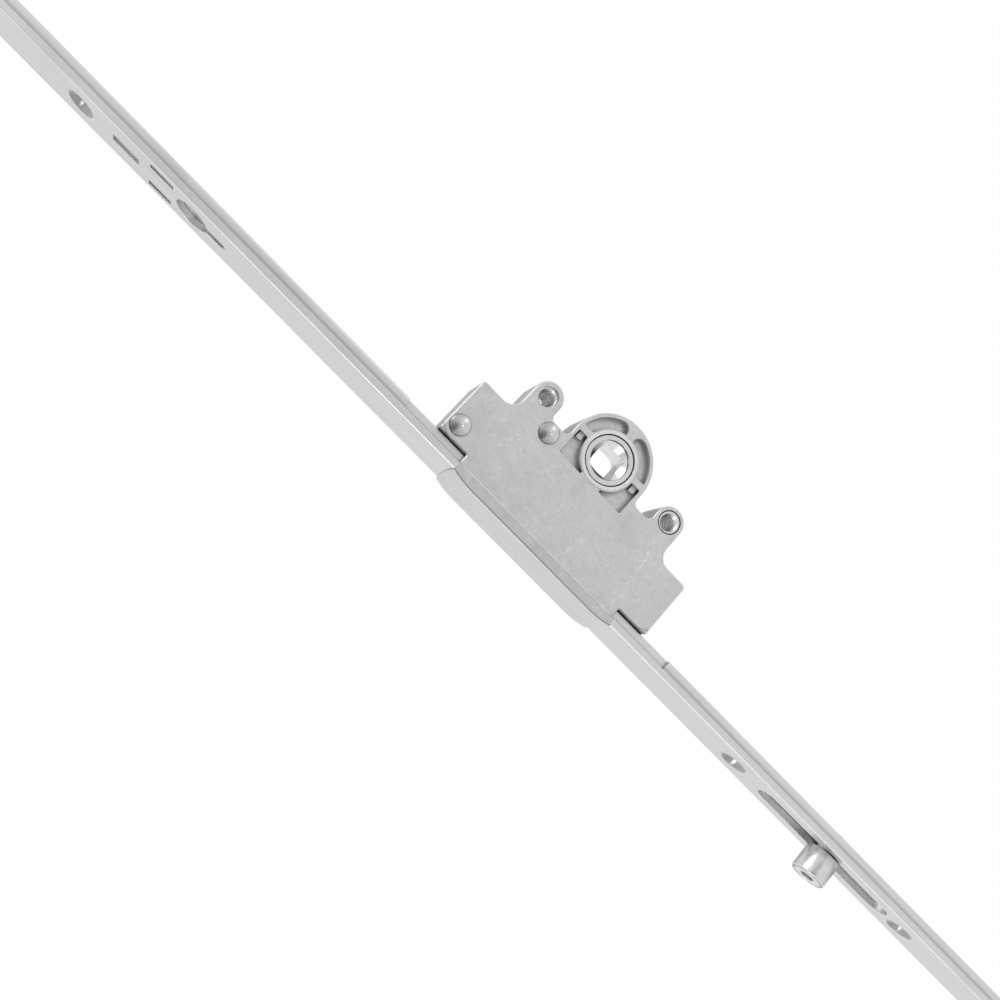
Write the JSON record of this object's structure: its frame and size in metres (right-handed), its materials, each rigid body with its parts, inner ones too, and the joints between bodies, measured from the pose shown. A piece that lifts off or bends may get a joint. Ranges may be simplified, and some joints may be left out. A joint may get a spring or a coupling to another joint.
{
  "type": "window espagnolette",
  "caption": "Slim steel rail with a die-cast gearbox: turning the square hub slides drive rods behind the faceplate and moves a roller cam.",
  "frame": {"origin": "middle of the square spindle hole, half way through the gearbox", "axes": "+Z along the rail, up the sash; -X out of the faceplate's front; -Y out of the gearbox face that the handle lies on"},
  "size_m": [0.0489, 0.016, 0.4],
  "materials": {
    "faceplate_steel": "zinc plated, fine grain along the rail",
    "cover_steel": "zinc plated, satin",
    "rod_steel": "zinc plated",
    "case_zinc": "light grey die-cast zinc, silvered",
    "hub_zinc": "light grey die-cast zinc",
    "gear_zinc": "light grey die-cast zinc",
    "rivet_steel": "zinc plated, domed",
    "insert_steel": "zinc plated",
    "stud_steel": "zinc plated",
    "roller_steel": "bright, turned",
    "bush_steel": "zinc plated, turned"
  },
  "bodies": {
    "gearbox": {"faceplate_upper": "faceplate_steel", "faceplate_lower": "faceplate_steel", "nose_cover": "cover_steel", "case_front": "case_zinc", "case_back": "case_zinc", "idler_axle": "stud_steel", "guide_bush_upper": "bush_steel", "guide_bush_middle": "bush_steel", "guide_bush_lower": "bush_steel", "ear_rivet": "rivet_steel", "hub_rivet": "rivet_steel", "threaded_insert_upper": "insert_steel", "threaded_insert_lower": "insert_steel"},
    "drive_bar": {"rack_slider": "rod_steel", "drive_rod_upper": "rod_steel", "drive_rod_lower": "rod_steel", "rod_rivets": "rivet_steel"},
    "hub": {"hub": "hub_zinc"},
    "idler": {"idler_gear": "gear_zinc"},
    "cam": {"cam_stud": "stud_steel"},
    "roller": {"cam_roller": "roller_steel"}
  },
  "joints": [
    {"name": "rod_slide", "type": "slide", "parent": "gearbox", "child": "drive_bar", "axis": [0, 0, 1], "range_m": [-0.01791, 0.01791]},
    {"name": "hub_turn", "type": "hinge", "parent": "gearbox", "child": "hub", "pos_m": [0, 0, 0], "axis": [0, 1, 0], "range_deg": [-90, 90]},
    {"name": "idler_turn", "type": "hinge", "parent": "gearbox", "child": "idler", "pos_m": [-0.0165, 0, 0], "axis": [0, 1, 0], "range_deg": [-108, 108]},
    {"name": "cam_adjust", "type": "hinge", "parent": "drive_bar", "child": "cam", "pos_m": [-0.028, 0, -0.111], "axis": [1, 0, 0], "range_deg": [-90, 90]},
    {"name": "roller_spin", "type": "hinge", "parent": "cam", "child": "roller", "pos_m": [-0.0301, 0, -0.1104], "axis": [1, 0, 0], "continuous": true}
  ],
  "couplings": [
    {"joint": "hub_turn", "follows": "rod_slide", "rad_per_m": -87.719},
    {"joint": "idler_turn", "follows": "rod_slide", "rad_per_m": 105.26}
  ]
}
